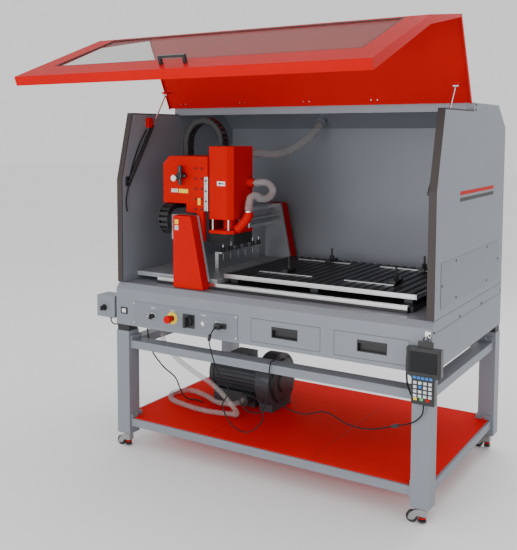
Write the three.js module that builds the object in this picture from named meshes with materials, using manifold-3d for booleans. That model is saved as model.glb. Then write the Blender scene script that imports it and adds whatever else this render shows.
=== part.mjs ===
// Enclosed gantry CNC router on a welded stand, millimetres, Z up.
// X runs from left to right, Y from the operator to the back wall.
import * as THREE from 'three';
import { mergeVertices } from 'three/addons/utils/BufferGeometryUtils.js';
import Module from 'manifold-3d';

const wasm = await Module();
wasm.setup();

// Overall sizes
const WIDTH = 1658;
const DEPTH = 1058;
const CASTER_HEIGHT = 80;
const LEG = 80;
const LEG_TOP = 618;
const BASE_BOTTOM = 650;
const BASE_TOP = 863;
const WALL = 4;
const SIDE_THICK = 30;
const GAP = 0.4;

// Side panel edge heights and the roof
const PANEL_FRONT = 20;
const PANEL_BEND = 1388;
const PANEL_TOP = 1720;
const PANEL_TOP_FRONT = 107;
const ROOF_FRONT = 508;
const ROOF_TOP = 1759;
const ROOF_BACK = 919;
const BACK_BEND = 1651;

// Bed, table and gantry heights
const BED_TOP = 885;
const PLATFORM_TOP = 908;
const TABLE_TOP = 931;
const TOWER_TOP = 1221;
const SPINDLE_X = -1115;
const SPINDLE_Y = 238;
const SCREW_RADIUS = 8;

const router = new THREE.Group();

const paint = { roughness: 0.45, metalness: 0.3 };
const looks = {
  grey: new THREE.MeshStandardMaterial({ color: 0x969ba3, ...paint }),
  lightGrey: new THREE.MeshStandardMaterial({ color: 0xb4b8bd, ...paint }),
  red: new THREE.MeshStandardMaterial({ color: 0xd8161a, ...paint }),
  black: new THREE.MeshStandardMaterial({ color: 0x1b1b1d, roughness: 0.6, metalness: 0 }),
  steel: new THREE.MeshStandardMaterial({ color: 0xc4c6c8, roughness: 0.25, metalness: 1 }),
  dark: new THREE.MeshStandardMaterial({ color: 0x35363a, roughness: 0.5, metalness: 0.4 }),
  white: new THREE.MeshStandardMaterial({ color: 0xe6e6e4, roughness: 0.4, metalness: 0 }),
  clear: new THREE.MeshStandardMaterial({ color: 0xd8d2d2, roughness: 0.15, metalness: 0 }),
};

// A box given by its two opposite corners.
function box(x0, x1, y0, y1, z0, z1) {
  const shape = new THREE.BoxGeometry(x1 - x0, y1 - y0, z1 - z0);
  shape.translate((x0 + x1) / 2, (y0 + y1) / 2, (z0 + z1) / 2);
  return shape;
}

// A cylinder along one axis between two positions, centred at (u, v) on the other two.
function rod(axis, u, v, from, to, radius, sides = 24, endRadius = radius) {
  const shape = new THREE.CylinderGeometry(endRadius, radius, to - from, sides);
  const middle = (from + to) / 2;
  if (axis === 'x') shape.rotateZ(-Math.PI / 2).translate(middle, u, v);
  if (axis === 'y') shape.translate(u, middle, v);
  if (axis === 'z') shape.rotateX(Math.PI / 2).translate(u, v, middle);
  return shape;
}

function outline(points) {
  return new THREE.Shape(points.map(([u, v]) => new THREE.Vector2(u, v)));
}

// A polygon in the YZ plane, extruded along X.
function profileX(points, x0, x1) {
  const shape = new THREE.ExtrudeGeometry(outline(points), { depth: x1 - x0, bevelEnabled: false });
  const turn = new THREE.Matrix4().makeBasis(
    new THREE.Vector3(0, 1, 0), new THREE.Vector3(0, 0, 1), new THREE.Vector3(1, 0, 0));
  return shape.applyMatrix4(turn).translate(x0, 0, 0);
}

// A polygon in the XZ plane, extruded along Y.
function profileY(points, y0, y1) {
  const shape = new THREE.ExtrudeGeometry(outline(points), { depth: y1 - y0, bevelEnabled: false });
  return shape.rotateX(Math.PI / 2).translate(0, y1, 0);
}

// A polygon in the XY plane, extruded along Z.
function profileZ(points, z0, z1) {
  const shape = new THREE.ExtrudeGeometry(outline(points), { depth: z1 - z0, bevelEnabled: false });
  return shape.translate(0, 0, z0);
}

function toManifold(geometry) {
  let source = geometry.clone();
  source.deleteAttribute('normal');
  source.deleteAttribute('uv');
  source = mergeVertices(source, 1e-4);
  return new wasm.Manifold(new wasm.Mesh({
    numProp: 3,
    vertProperties: new Float32Array(source.attributes.position.array),
    triVerts: new Uint32Array(source.index.array),
  }));
}

// Adds some shapes together and cuts the others away.
function solid(adds, cuts = []) {
  let body = toManifold(adds[0]);
  for (const shape of adds.slice(1)) body = body.add(toManifold(shape));
  for (const shape of cuts) body = body.subtract(toManifold(shape));
  const mesh = body.getMesh();
  const result = new THREE.BufferGeometry();
  result.setAttribute('position', new THREE.BufferAttribute(mesh.vertProperties, 3));
  result.setIndex(new THREE.BufferAttribute(mesh.triVerts, 1));
  return result;
}

function piece(name, geometry, look) {
  const material = look.clone();
  material.name = name;
  const mesh = new THREE.Mesh(geometry, material);
  mesh.name = name;
  router.add(mesh);
}

// A round tube along a smooth line through the given points.
function tube(points, diameter, steps, sides) {
  const line = new THREE.CatmullRomCurve3(
    points.map(([x, y, z]) => new THREE.Vector3(x, y, z)), false, 'centripetal');
  const ring = new THREE.Shape();
  for (let k = 0; k < sides; k += 1) {
    const angle = (2 * Math.PI * k) / sides;
    const u = (diameter / 2) * Math.cos(angle);
    const v = (diameter / 2) * Math.sin(angle);
    if (k === 0) ring.moveTo(u, v);
    else ring.lineTo(u, v);
  }
  return new THREE.ExtrudeGeometry(ring, { steps, extrudePath: line, bevelEnabled: false });
}

// ---------------------------------------------------------------- stand
const RAIL_LOW = 122;
const RAIL_HIGH = 531;
const RAIL_HEIGHT = 40;
const RAIL_INSET = 12;
const FLANGE = 8;
const FLANGE_RISE = 24;

function sideFrame(name, legLeft, railLeft) {
  const shapes = [];
  for (const y of [0, DEPTH - LEG]) {
    shapes.push(box(legLeft, legLeft + LEG, y, y + LEG, CASTER_HEIGHT, LEG_TOP));
    shapes.push(box(legLeft + 4, legLeft + LEG - 4, y + 4, y + LEG - 4, LEG_TOP - 1, BASE_BOTTOM - GAP));
  }
  for (const z of [RAIL_LOW, RAIL_HIGH]) {
    shapes.push(box(railLeft, railLeft + LEG - RAIL_INSET, LEG - 1, DEPTH - LEG + 1, z, z + RAIL_HEIGHT));
    for (const y of [LEG - 1, DEPTH - LEG - FLANGE]) {
      const top = z + RAIL_HEIGHT + FLANGE_RISE;
      shapes.push(box(railLeft, railLeft + LEG - RAIL_INSET, y, y + FLANGE + 1, z - 4, top));
    }
  }
  piece(name, solid(shapes), looks.grey);
}
sideFrame('stand_frame_left', -WIDTH, -WIDTH + RAIL_INSET);
sideFrame('stand_frame_right', -LEG, -LEG);

const RAIL_START = -WIDTH + LEG + GAP;
const RAIL_END = -LEG - GAP;
function crossRail(name, y, z) {
  const shapes = [box(RAIL_START + 1, RAIL_END - 1, y, y + LEG, z, z + RAIL_HEIGHT)];
  for (const x of [RAIL_START, RAIL_END - FLANGE]) {
    shapes.push(box(x, x + FLANGE, y, y + LEG, z - 4, z + RAIL_HEIGHT + FLANGE_RISE));
  }
  piece(name, solid(shapes), looks.grey);
}
crossRail('rail_upper_front', RAIL_INSET, RAIL_HIGH);
crossRail('rail_upper_rear', DEPTH - LEG - RAIL_INSET, RAIL_HIGH);
crossRail('rail_lower_front', RAIL_INSET, RAIL_LOW);
crossRail('rail_lower_rear', DEPTH - LEG - RAIL_INSET, RAIL_LOW);

const SHELF_Z = RAIL_LOW + RAIL_HEIGHT + GAP;
const SHELF_CORNER = LEG + FLANGE + 6;
const SHELF_LEFT = -WIDTH + 24;
const SHELF_RIGHT = -24;
piece('shelf', profileZ([
  [SHELF_LEFT, SHELF_CORNER], [-WIDTH + SHELF_CORNER, SHELF_CORNER], [-WIDTH + SHELF_CORNER, 22],
  [-SHELF_CORNER, 22], [-SHELF_CORNER, SHELF_CORNER], [SHELF_RIGHT, SHELF_CORNER],
  [SHELF_RIGHT, DEPTH - SHELF_CORNER], [-SHELF_CORNER, DEPTH - SHELF_CORNER], [-SHELF_CORNER, DEPTH - 22],
  [-WIDTH + SHELF_CORNER, DEPTH - 22], [-WIDTH + SHELF_CORNER, DEPTH - SHELF_CORNER],
  [SHELF_LEFT, DEPTH - SHELF_CORNER],
], SHELF_Z, SHELF_Z + 3), looks.red);

// ---------------------------------------------------------------- levelling casters
const WHEEL_RADIUS = 25;
const WHEEL_TRAIL = 44;
const WHEEL_WIDTH = 22;
const FOOT_REST = 9;

function caster(corner, x, y) {
  const wheelX = x - WHEEL_TRAIL;
  const half = WHEEL_WIDTH / 2;
  const cheek = [
    [wheelX - 14, 20], [wheelX - 8, 38], [wheelX + 12, 58], [x - 16, 62], [x + 17, 62],
    [x + 17, 38], [x - 18, 36], [wheelX + 10, 16], [wheelX - 8, 14],
  ];
  const housing = solid([
    profileY(cheek, y - half - 6, y - half - 1),
    profileY(cheek, y + half + 1, y + half + 6),
    box(x - 16, x + 17, y - half - 6, y + half + 6, 36, 66),
    box(x - 28, x + 28, y - 28, y + 28, CASTER_HEIGHT - 6, CASTER_HEIGHT - GAP),
    rod('z', x, y, 65, CASTER_HEIGHT - 5, 14),
  ], [
    rod('z', x, y, 20, 60, 6.5),
    rod('y', wheelX, 25, y - half - 0.8, y + half + 0.8, WHEEL_RADIUS + 2, 32),
  ]);
  piece('caster_fork_' + corner, housing, looks.white);
  const wheel = solid([
    rod('y', wheelX, 25, y - half, y + half, WHEEL_RADIUS, 40),
  ]);
  piece('caster_wheel_' + corner, wheel, looks.dark);
  piece('caster_foot_' + corner, solid([
    rod('z', x, y, FOOT_REST, FOOT_REST + 9, 17, 32),
    rod('z', x, y, FOOT_REST + 8, 58, 5.5),
    rod('z', x, y, 24, 31, 15, 24),
  ]), looks.black);
}
caster('front_left', -WIDTH + LEG / 2, LEG / 2);
caster('front_right', -LEG / 2, LEG / 2);
caster('rear_left', -WIDTH + LEG / 2, DEPTH - LEG / 2);
caster('rear_right', -LEG / 2, DEPTH - LEG / 2);

// ---------------------------------------------------------------- base cabinet and drawers
const CHAMFER_Z = 834;
const CHAMFER_Y = 25;
const drawers = [
  { name: 'drawer_left', left: -851, right: -501, pull: [-741, -614] },
  { name: 'drawer_right', left: -433, right: -96, pull: [-323, -194] },
];
const DRAWER_LOW = 671;
const DRAWER_HIGH = 777;
const DRAWER_DEPTH = 350;
const DRAWER_WALL = 2;

const baseBody = profileX([
  [0, BASE_BOTTOM], [0, CHAMFER_Z], [CHAMFER_Y, BASE_TOP], [DEPTH, BASE_TOP], [DEPTH, BASE_BOTTOM],
], -WIDTH, 0);
const baseCuts = [profileX([
  [WALL, BASE_BOTTOM + WALL], [WALL, CHAMFER_Z - 2], [CHAMFER_Y + 1, BASE_TOP - WALL],
  [DEPTH - WALL, BASE_TOP - WALL], [DEPTH - WALL, BASE_BOTTOM + WALL],
], -WIDTH + WALL, -WALL)];
for (const d of drawers) {
  baseCuts.push(box(d.left - 1.5, d.right + 1.5, -2, WALL + 1, DRAWER_LOW - 1.5, DRAWER_HIGH + 1.5));
}
piece('base_housing', solid([baseBody], baseCuts), looks.grey);

for (const d of drawers) {
  const y1 = DRAWER_DEPTH;
  const pullCut = box(d.pull[0], d.pull[1], -1, 20, 704, 749);
  piece(d.name, solid([
    box(d.left, d.right, 0, 3, DRAWER_LOW, DRAWER_HIGH),
    box(d.left + 8, d.right - 8, 2, y1, DRAWER_LOW + 4, DRAWER_HIGH - 8),
    box(d.pull[0] - 4, d.pull[1] + 4, 2, 26, 700, 753),
  ], [
    box(d.left + 10, d.right - 10, 28, y1 - DRAWER_WALL, DRAWER_LOW + 6, DRAWER_HIGH),
    pullCut,
  ]), looks.grey);
}

// ---------------------------------------------------------------- control panel
const PLATE_FRONT = -3;
const CONTROL_LEFT = -1545;
piece('control_panel', box(CONTROL_LEFT, -925, PLATE_FRONT, -GAP, 664, 779), looks.grey);

// Round selector with a lever bar on a bezel.
function selector(name, x, z) {
  piece(name, solid([
    rod('y', x, z, PLATE_FRONT - 24, PLATE_FRONT - GAP, 13, 32),
    box(x - 4, x + 4, PLATE_FRONT - 32, PLATE_FRONT - 20, z - 12, z + 12),
  ]), looks.black);
}
selector('mode_selector', -1418, 719);
piece('emergency_stop', solid([
  rod('y', -1300, 722, -50, -32, 19, 40),
  rod('y', -1300, 722, -33, PLATE_FRONT - 7, 12, 32),
]), looks.red);
piece('main_switch', solid([
  rod('y', -1201, 719.5, -20, PLATE_FRONT - GAP, 24, 40),
  box(-1206, -1196, -44, -19, 697, 742),
]), looks.black);
piece('start_button', rod('y', -1114, 720, -14, PLATE_FRONT - 5, 10, 32), looks.white);

const SIDE_BOX_LEFT = -1790;
const SIDE_BOX_RIGHT = -1672;
piece('side_box', solid([
  box(SIDE_BOX_LEFT, SIDE_BOX_RIGHT, 0, 90, 675, 787),
  box(SIDE_BOX_RIGHT - 1, -WIDTH - GAP, 20, 70, 700, 765),
]), looks.grey);
piece('side_box_selector', solid([
  rod('y', -1739, 724, -22, -GAP, 13, 32),
  box(-1743, -1735, -30, -20, 712, 736),
]), looks.black);

// Pendant control box hanging on its hook ring.
const PENDANT_BACK = -8;
const PENDANT_FRONT = -38;
const PENDANT_X = 10.5;
const pendantBody = solid([
  profileY([
    [-81, 532], [16, 532], [16, 640], [40, 652], [40, 764], [-104, 764], [-104, 652], [-81, 640],
  ], PENDANT_FRONT, PENDANT_BACK),
  box(-60, 4, -26, -20, 760, 790),
  rod('y', -28, 797, -26, -20, 13, 32),
], [
  rod('y', -28, 797, -30, -16, 8, 24),
]);
pendantBody.translate(PENDANT_X, 0, 0);
piece('pendant', pendantBody, looks.black);

// ---------------------------------------------------------------- enclosure
const panelEdge = [
  [PANEL_FRONT, BASE_TOP + GAP], [PANEL_FRONT, PANEL_BEND], [PANEL_TOP_FRONT, PANEL_TOP],
  [ROOF_FRONT, PANEL_TOP], [ROOF_FRONT, ROOF_TOP], [ROOF_BACK, ROOF_TOP],
  [DEPTH, BACK_BEND], [DEPTH, BASE_TOP + GAP],
];
piece('side_panel_left', profileX(panelEdge, -WIDTH, -WIDTH + SIDE_THICK), looks.grey);
piece('side_panel_right', profileX(panelEdge, -SIDE_THICK, 0), looks.grey);

const PORT_X = -990;
const port = rod('z', 0, 0, -30, 12, 33, 32);
port.rotateX(-Math.atan2(ROOF_TOP - BACK_BEND, DEPTH - ROOF_BACK));
port.translate(PORT_X, 988, 1705);
piece('back_and_roof', solid([
  profileX([
    [ROOF_FRONT, PANEL_TOP], [ROOF_FRONT, ROOF_TOP], [ROOF_BACK, ROOF_TOP], [DEPTH, BACK_BEND],
    [DEPTH, BASE_TOP + GAP], [DEPTH - WALL, BASE_TOP + GAP], [DEPTH - WALL, BACK_BEND - 2],
    [ROOF_BACK - 1, ROOF_TOP - WALL], [ROOF_FRONT + WALL, ROOF_TOP - WALL], [ROOF_FRONT + WALL, PANEL_TOP],
  ], -WIDTH + SIDE_THICK + GAP, -SIDE_THICK - GAP),
  port,
]), looks.grey);

// ---------------------------------------------------------------- lid, open
const LID_LEFT = -1672;
const LID_RIGHT = -5;
const LID_CORNERS = [[491, 1759], [312, 2125], [-86, 2074], [-642, 1867]];
const lidLine = LID_CORNERS.map(([y, z]) => new THREE.Vector2(y, z));

// The lid line moved towards the inside of the enclosure by a depth at each point.
function lidOffset(depths) {
  return lidLine.map((point, k) => {
    const before = lidLine[Math.max(k - 1, 0)];
    const after = lidLine[Math.min(k + 1, lidLine.length - 1)];
    const one = point.clone().sub(before).normalize();
    const two = after.clone().sub(point).normalize();
    if (k === 0) one.copy(two);
    if (k === lidLine.length - 1) two.copy(one);
    const normal = one.clone().add(two).normalize();
    const across = new THREE.Vector2(-normal.y, normal.x);
    const stretch = 1 / Math.max(0.5, normal.dot(one));
    return point.clone().addScaledVector(across, depths[k] * stretch);
  });
}
function lidBand(nearDepths, farDepths, x0, x1) {
  const near = lidOffset(nearDepths);
  const far = lidOffset(farDepths).reverse();
  return profileX([...near, ...far].map((point) => [point.x, point.y]), x0, x1);
}

// A flat strip along the front lid segment, between two distances from the front edge.
function lidStrip(from, to, near, far, x0, x1) {
  const start = lidLine[3];
  const along = lidLine[2].clone().sub(start).normalize();
  const inward = new THREE.Vector2(along.y, -along.x);
  const corner = (a, b) => {
    const point = start.clone().addScaledVector(along, a).addScaledVector(inward, b);
    return [point.x, point.y];
  };
  return profileX([corner(from, near), corner(to, near), corner(to, far), corner(from, far)], x0, x1);
}
const none = [0, 0, 0, 0];
const skin = [WALL, WALL, WALL, WALL];
const rim = [18, 14, 36, 41];
const WINDOW_LEFT = -1567;
const WINDOW_RIGHT = -98;
const WINDOW_NEAR = 141;
const WINDOW_FAR = 578;
piece('lid_shell', solid([
  lidBand(none, skin, LID_LEFT, LID_RIGHT),
  lidBand(none, rim, LID_LEFT, LID_LEFT + WALL),
  lidBand(none, rim, LID_RIGHT - WALL, LID_RIGHT),
  lidStrip(0, WALL, 0, 41, LID_LEFT, LID_RIGHT),
], [
  lidStrip(WINDOW_NEAR, WINDOW_FAR, -6, 12, WINDOW_LEFT, WINDOW_RIGHT),
]), looks.red);
piece('lid_window', lidStrip(WINDOW_NEAR - 14, WINDOW_FAR + 6, WALL + GAP, 2 * WALL + GAP,
  WINDOW_LEFT - 14, WINDOW_RIGHT + 14), looks.clear);

const HANDLE_X = [-914, -797];
const handleBar = [lidStrip(60, 74, -36, -26, HANDLE_X[0], HANDLE_X[1])];
for (const x of HANDLE_X) handleBar.push(lidStrip(60, 74, -36, -GAP, x - 6, x + 6));
piece('lid_handle', solid(handleBar), looks.black);

// Gas struts: cylinder from a ball on the side panel, rod up to the lid.
const STRUT_FOOT = new THREE.Vector2(62, 1378);
const STRUT_HEAD = new THREE.Vector2(368, 1828);
const STRUT_BORE = 4.45;
function strutPart(x, from, to, radius, endRadius, endAt, bored) {
  const along = STRUT_HEAD.clone().sub(STRUT_FOOT).normalize();
  const tilt = Math.atan2(along.y, along.x);
  const place = (shape) => shape.rotateX(tilt).translate(x, STRUT_FOOT.x, STRUT_FOOT.y);
  const outside = x < -WIDTH / 2 ? [-13.5, 9] : [-9, 13.5];
  const shapes = [
    place(rod('y', 0, 0, from, to, radius, 20)),
    place(rod('x', endAt, 0, ...outside, endRadius, 20)),
  ];
  shapes.push(place(rod('y', 0, 0, Math.min(endAt, to - 1), Math.max(endAt, from + 1), endRadius * 0.6, 16)));
  return solid(shapes, bored ? [place(rod('y', 0, 0, 60, to + 1, STRUT_BORE, 20))] : []);
}
const STRUT_LENGTH = STRUT_HEAD.distanceTo(STRUT_FOOT);
for (const [side, x] of [['left', -1614], ['right', -44]]) {
  piece('strut_cylinder_' + side, strutPart(x, 12, 345, 10, 8, 0, true), looks.black);
  piece('strut_rod_' + side, strutPart(x, 180, STRUT_LENGTH - 8, 4, 6.5, STRUT_LENGTH, false), looks.steel);
}

// ---------------------------------------------------------------- bed and table
const RAIL_Y = [103, 937];
const bedShapes = [
  box(-1472, -130, 130, 930, BASE_TOP + GAP, BED_TOP),
  box(-1472, -145, 102, 958, BASE_TOP + GAP, BASE_TOP + 4),
];
for (const y of RAIL_Y) bedShapes.push(box(-1472, -145, y, y + 20, BASE_TOP + 3, 894));
piece('machine_bed', solid(bedShapes), looks.dark);
piece('bed_platform', box(-1626, -1126, 131, 929, BED_TOP + GAP, PLATFORM_TOP), looks.lightGrey);

const tableShapes = [box(-1122, -140, 190, 880, 909, TABLE_TOP)];
for (const x of [-1100, -660, -202]) {
  for (const y of [215, 510, 805]) tableShapes.push(box(x, x + 40, y, y + 40, BED_TOP + GAP, 910));
}
const tableCuts = [];
for (let x = -1075; x < -150; x += 46) tableCuts.push(box(x, x + 10, 196, 874, TABLE_TOP - 6, TABLE_TOP + 1));
piece('work_table', solid(tableShapes, tableCuts), looks.dark);

// ---------------------------------------------------------------- gantry
const COVER_OUTLINE = [
  [-1328, 866], [-1151, 866], [-1222, TOWER_TOP - 8], [-1230, TOWER_TOP], [-1328, TOWER_TOP],
];
piece('gantry_tower_front', solid([profileY(COVER_OUTLINE, 45, 100)], [
  profileY([[-1325, 860], [-1154, 860], [-1225, TOWER_TOP - 12], [-1325, TOWER_TOP - 3]], 48, 101),
]), looks.red);
piece('gantry_tower_rear', solid([profileY(COVER_OUTLINE, 960, 1015)], [
  profileY([[-1325, 860], [-1154, 860], [-1225, TOWER_TOP - 12], [-1325, TOWER_TOP - 3]], 959, 1012),
]), looks.red);

const PLATE_OUTLINE = [
  [-1380, 1094], [-1326, 1094], [-1326, 897], [-1160, 897], [-1226, TOWER_TOP - 2], [-1380, TOWER_TOP - 2],
];
const beamShapes = [
  box(-1380, -1284, 104, 956, 1094, TOWER_TOP - 2),
  profileY(PLATE_OUTLINE, 104, 122),
  profileY(PLATE_OUTLINE, 938, 956),
];
for (const z of [1098, 1193]) beamShapes.push(box(-1285, -1268, 121, 939, z, z + 20));
piece('gantry_beam', solid(beamShapes), looks.lightGrey);

piece('y_ball_screw', rod('y', -1258, 1151, 122 + GAP, 938 - GAP, SCREW_RADIUS, 12), looks.steel);

piece('y_carriage', solid([profileY([
  [-1450, 1274], [-1450, 1470], [-1411, 1509], [-1180, 1509], [-1180, 1411], [-1205, 1411],
  [-1205, 1090], [-1244, 1090], [-1244, 1231], [-1308, 1231], [-1308, 1274],
], 128, 330)]), looks.red);

// ---------------------------------------------------------------- spindle head
const HEAD_LEFT = -1177;
const HEAD_RIGHT = -1050;
const HEAD_FRONT = 138;
const HEAD_BACK = 338;
const HEAD_CHAMFER = 25;
const STUB_Y = 300;
const STUB_END = -1016;
const headPlan = [
  [HEAD_LEFT, HEAD_FRONT], [HEAD_RIGHT - HEAD_CHAMFER, HEAD_FRONT], [HEAD_RIGHT, HEAD_FRONT + HEAD_CHAMFER],
  [HEAD_RIGHT, HEAD_BACK], [HEAD_LEFT, HEAD_BACK],
];
piece('head_cover', solid([
  profileZ(headPlan, 1203, 1559),
  rod('x', STUB_Y, 1378, HEAD_RIGHT - 2, STUB_END, 21),
  rod('z', SPINDLE_X, SPINDLE_Y, 1128, 1204, 38, 40),
]), looks.red);
piece('spindle_tool', solid([
  rod('z', SPINDLE_X, SPINDLE_Y, 1098, 1128 - GAP, 15, 24),
  rod('z', SPINDLE_X, SPINDLE_Y, 1078, 1099, 3, 12),
]), looks.steel);
const shoeShapes = [
  profileZ(headPlan, 1133, 1150),
  profileZ(headPlan.map(([x, y]) => [x * 0.97 + SPINDLE_X * 0.03, y * 0.97 + SPINDLE_Y * 0.03]), 1075, 1134),
];
for (const [x, y] of [
  [HEAD_LEFT + 12, 152], [HEAD_RIGHT - 26, 156], [HEAD_LEFT + 12, 324], [HEAD_RIGHT - 12, 324],
]) {
  shoeShapes.push(rod('z', x, y, 1149, 1203 - GAP, 5, 16));
}
shoeShapes.push(tube([
  [-1052, 196, 1138], [-1030, 205, 1172], [-1003, 214, 1212], [-998, 216, 1226], [-998, 216, 1236],
], 44, 8, 16));
piece('dust_shoe', solid(shoeShapes, [rod('z', SPINDLE_X, SPINDLE_Y, 1070, 1155, 44, 40)]), looks.black);

// ---------------------------------------------------------------- chains and hoses on the gantry
const CHAIN_WIDTH = 55;
const CHAIN_THICK = 35;
function arch(left, leftZ, right, rightZ, apex, thick) {
  const middle = (left + right) / 2;
  const points = [];
  const inner = [];
  const count = 20;
  const half = (right - left) / 2;
  for (let k = 0; k <= count; k += 1) {
    const angle = Math.PI - (Math.PI * k) / count;
    const rise = 130;
    points.push([middle + (half + thick / 2) * Math.cos(angle), apex - rise + rise * Math.sin(angle)]);
    const across = (half - thick / 2) * Math.cos(angle);
    const up = (rise - thick) * Math.sin(angle);
    inner.push([middle + across, apex - rise + up]);
  }
  return [
    [left - thick / 2, leftZ], ...points, [right + thick / 2, rightZ],
    [right - thick / 2, rightZ], ...inner.reverse(), [left + thick / 2, leftZ],
  ];
}
const chainLine = arch(-1373, 1509 + GAP, -1161, 1559 + GAP, 1704, CHAIN_THICK);
piece('drag_chain_head', profileY(chainLine, 240 - CHAIN_WIDTH / 2, 240 + CHAIN_WIDTH / 2), looks.black);

// A chain lying along Y with its bend towards the operator.
function uBend(frontY, topEnd, bottomEnd, centreZ, radius, thick) {
  const outer = [];
  const inside = [];
  const count = 16;
  const centreY = frontY + radius;
  for (let k = 0; k <= count; k += 1) {
    const angle = Math.PI / 2 + (Math.PI * k) / count;
    outer.push([centreY + radius * Math.cos(angle), centreZ + radius * Math.sin(angle)]);
    inside.push([centreY + (radius - thick) * Math.cos(angle), centreZ + (radius - thick) * Math.sin(angle)]);
  }
  return [
    [topEnd, centreZ + radius], ...outer, [bottomEnd, centreZ - radius],
    [bottomEnd, centreZ - radius + thick], ...inside.reverse(), [topEnd, centreZ + radius - thick],
  ];
}
piece('drag_chain_gantry', profileX(uBend(66, 300, 560, 1193, 79, 28), -1440, -1381), looks.black);

piece('extraction_hose', tube([
  [-1110, HEAD_BACK + 1, 1530], [-1110, 380, 1530], [-1106, 440, 1522],
  [-1088, 550, 1514], [-1062, 660, 1517], [-1043, 750, 1540],
  [-1012, 850, 1590], [-995, 915, 1634], [-990, 960, 1672],
], 44, 40, 12), looks.clear);

piece('dust_hose', tube([
  [STUB_END + 1, STUB_Y, 1378], [-996, 301, 1378], [-972, 310, 1382],
  [-948, 326, 1372], [-932, 336, 1340], [-940, 306, 1308],
  [-955, 262, 1305], [-966, 226, 1322], [-980, 204, 1312],
  [-990, 206, 1282], [-998, 215, 1256], [-998, 216, 1238],
], 38, 44, 12), looks.clear);

// ---------------------------------------------------------------- vacuum pump on the shelf
const PUMP_Y = 560;
const PUMP_FLOOR = SHELF_Z + 3 + GAP;
const PUMP_CENTRE = PUMP_FLOOR + 148;
piece('vacuum_pump', solid([
  rod('x', PUMP_Y, PUMP_CENTRE, -1080, -1000, 148, 40),
  rod('x', PUMP_Y, PUMP_CENTRE, -1400, -1079, 92, 32),
  rod('x', PUMP_Y, PUMP_CENTRE, -1400, -1375, 98, 32),
  box(-1380, -1120, PUMP_Y - 80, PUMP_Y + 80, PUMP_FLOOR, PUMP_FLOOR + 70),
  box(-1080, -1000, PUMP_Y - 100, PUMP_Y + 100, PUMP_FLOOR, PUMP_FLOOR + 60),
  box(-1290, -1180, PUMP_Y - 55, PUMP_Y + 55, PUMP_CENTRE + 60, PUMP_CENTRE + 128),
  rod('y', -1150, PUMP_FLOOR + 55, PUMP_Y - 150, PUMP_Y - 70, 30, 24),
]), looks.dark);

// ---------------------------------------------------------------- cords on the stand
const SHELF_TOP = SHELF_Z + 3;
const HOSE = 28;
const leadLow = SHELF_TOP + 4.6;
const hoseLow = SHELF_TOP + HOSE / 2 + GAP;
piece('vacuum_hose', tube([
  [-1480, 150, BASE_BOTTOM - 1], [-1480, 150, 600], [-1472, 158, 540],
  [-1420, 180, 470], [-1330, 210, 400], [-1230, 240, 340],
  [-1130, 250, 260], [-1100, 270, 200], [-1150, 290, hoseLow + 4], [-1300, 270, hoseLow],
  [-1450, 290, hoseLow], [-1560, 330, hoseLow], [-1610, 420, hoseLow], [-1560, 500, hoseLow],
  [-1430, 470, hoseLow + 1], [-1310, 400, hoseLow + 8],
  [-1215, 345, hoseLow + 30], [-1165, 340, PUMP_FLOOR + 52],
  [-1150, 375, PUMP_FLOOR + 55], [-1150, PUMP_Y - 151, PUMP_FLOOR + 55],
], HOSE, 76, 10), looks.clear);

piece('pendant_plug', solid([
  box(-1044, -983, PLATE_FRONT - 14, PLATE_FRONT - GAP, 708, 734),
  box(-1030, -998, PLATE_FRONT - 44, PLATE_FRONT - 13, 711, 731),
]), looks.black);

const cordFront = PLATE_FRONT - 44 - GAP;
piece('pendant_cable', tube([
  [-1014, cordFront - 1, 721], [-1014, cordFront - 12, 720], [-1018, cordFront - 28, 706],
  [-1032, cordFront - 30, 670], [-1036, -60, 620],
  [-1010, -45, 520], [-950, -40, 430], [-985, -36, 350], [-930, -30, 262], [-850, -30, 250], [-775, -26, 320],
  [-790, -24, 400], [-870, -20, 420], [-900, -20, 390], [-870, -18, 350], [-790, -14, 350],
  [-752, -8, 460], [-752, -3, 555], [-752, 12, 584], [-757, 52, 582], [-764, 92, 584], [-770, 109, 555],
  [-775, 106, 500], [-775, 98, 440],
  [-720, 60, 380], [-600, 30, 366], [-480, 20, 400], [-360, -10, 378], [-260, -20, 380], [-160, -24, 412],
  [-60, -24, 452], [-28, -23, 488], [-23, -23, 515], [-23, -23, 531],
], 6, 78, 8), looks.black);

piece('shelf_lead', tube([
  [-1560, 130, BASE_BOTTOM - 1], [-1560, 130, 600], [-1555, 150, 500], [-1540, 230, 390], [-1530, 330, 300],
  [-1525, 366, 230], [-1515, 384, leadLow + 20], [-1495, 396, leadLow + 3], [-1465, 406, leadLow],
  [-1430, 410, leadLow], [-1400, 400, leadLow],
], 7, 40, 8), looks.black);

// Centre the machine on the origin, standing on Z = 0.
const cords = ['pendant_cable', 'vacuum_hose', 'shelf_lead', 'extraction_hose', 'dust_hose', 'pendant_plug'];
const bounds = new THREE.Box3();
for (const mesh of router.children) {
  if (!cords.includes(mesh.name)) bounds.expandByObject(mesh);
}
router.position.set(-(bounds.min.x + bounds.max.x) / 2, -(bounds.min.y + bounds.max.y) / 2, -bounds.min.z);
router.updateMatrixWorld(true);

export default router;
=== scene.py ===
import math

import bmesh
import bpy
from mathutils import Matrix, Vector


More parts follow.
